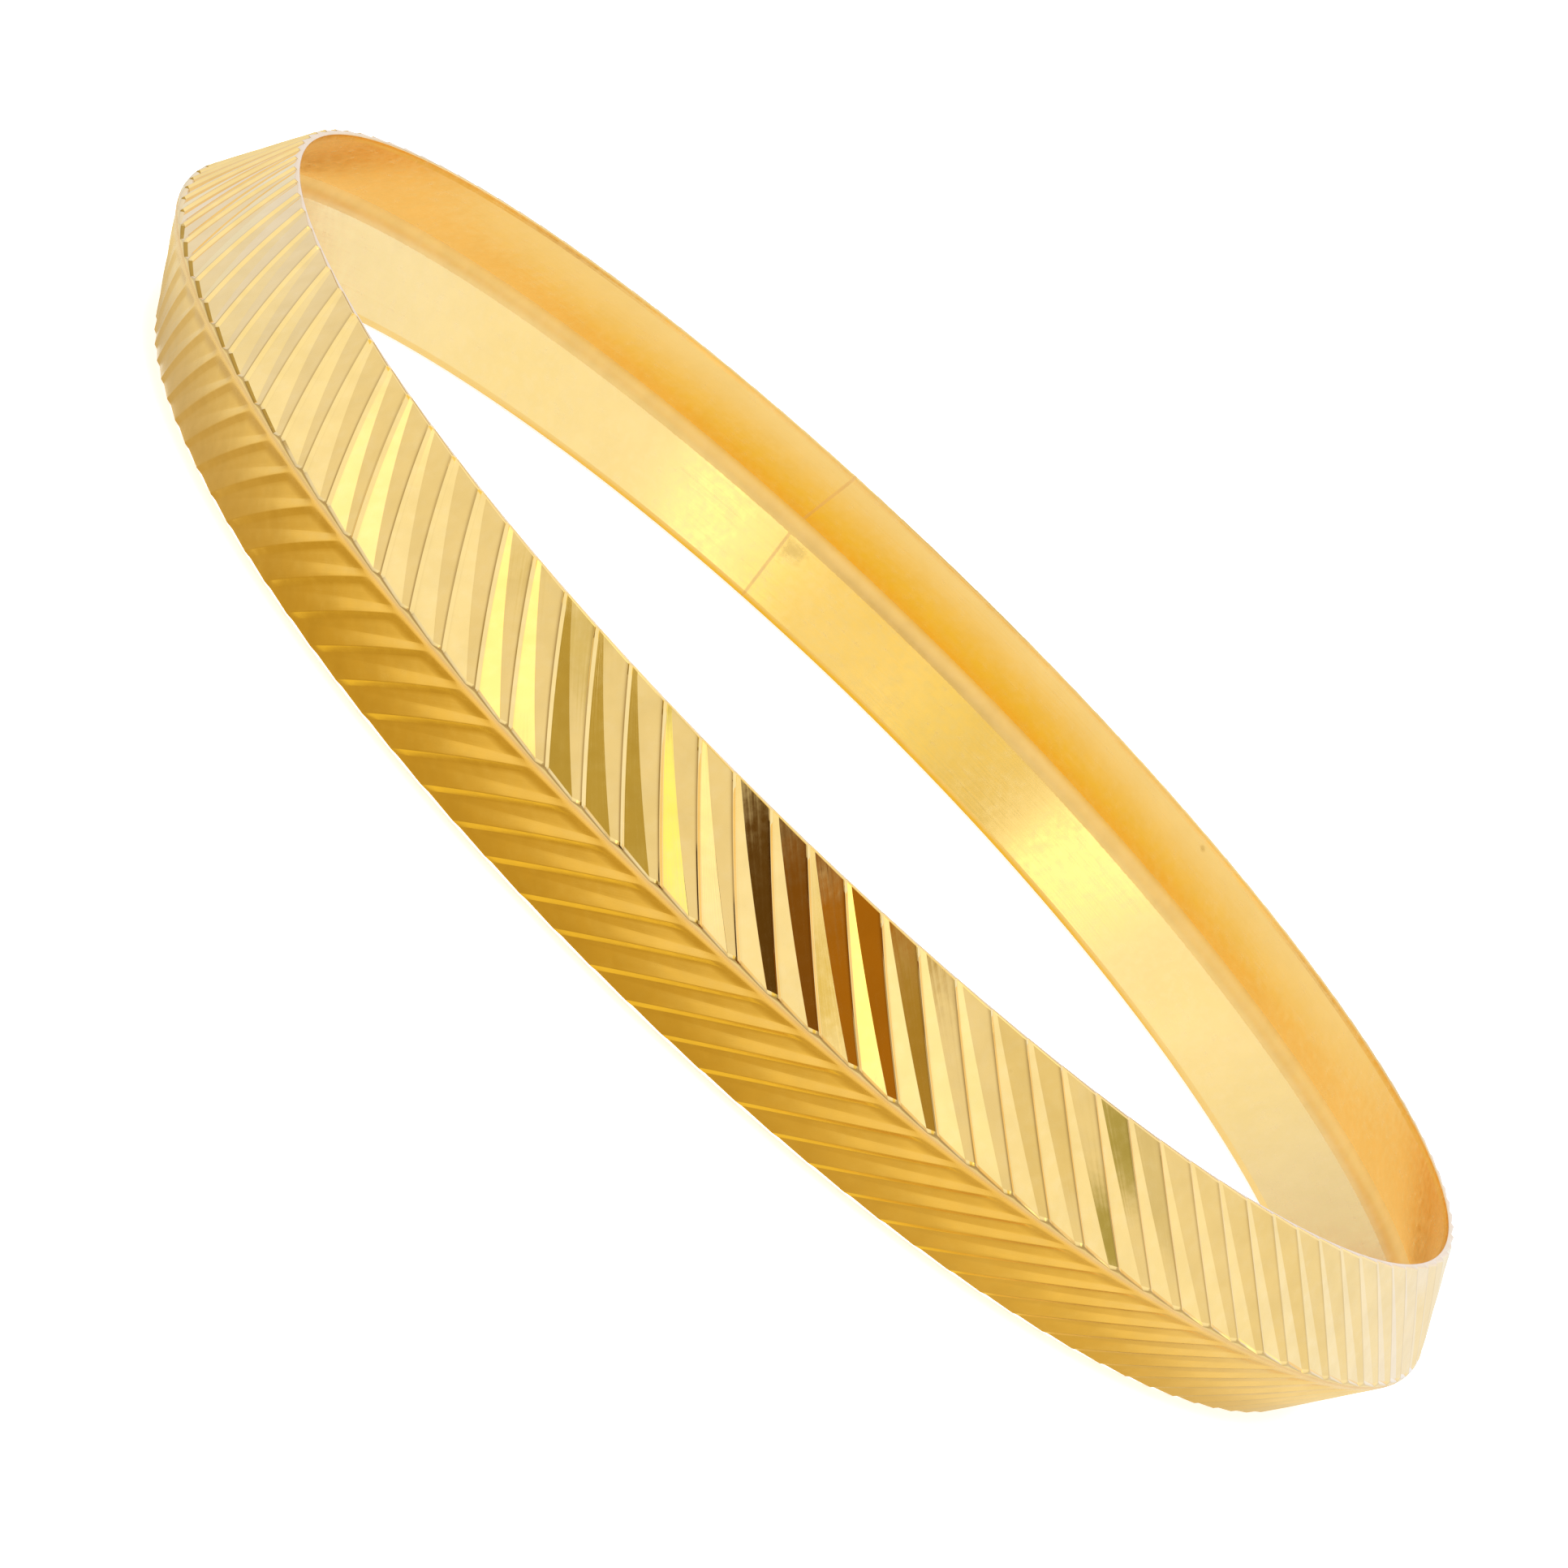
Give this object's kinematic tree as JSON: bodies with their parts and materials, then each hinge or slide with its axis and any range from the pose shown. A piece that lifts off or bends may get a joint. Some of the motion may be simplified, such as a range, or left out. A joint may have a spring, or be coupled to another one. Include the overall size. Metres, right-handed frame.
{
  "type": "bangle bracelet",
  "caption": "Rigid slip-on gold bangle, a thin hollow-backed band of V section with slanted bright cuts running back from a central ridge.",
  "frame": {"origin": "centre of the ring, on its axis at mid-width", "axes": "+Z along the ring's axis; +X and +Y in the plane of the ridge, with the closing seams 105 degrees round from +X towards +Y"},
  "size_m": [0.067, 0.067, 0.008],
  "materials": {
    "gold_cut": "polished yellow gold, bright-cut facets outside and smooth polish inside",
    "gold_solder": "polished gold solder, slightly paler than the sheet"
  },
  "bodies": {
    "root": {"upper_flange": "gold_cut", "lower_flange": "gold_cut", "ridge_joint": "gold_solder", "upper_seam": "gold_solder", "lower_seam": "gold_solder"}
  },
  "joints": []
}
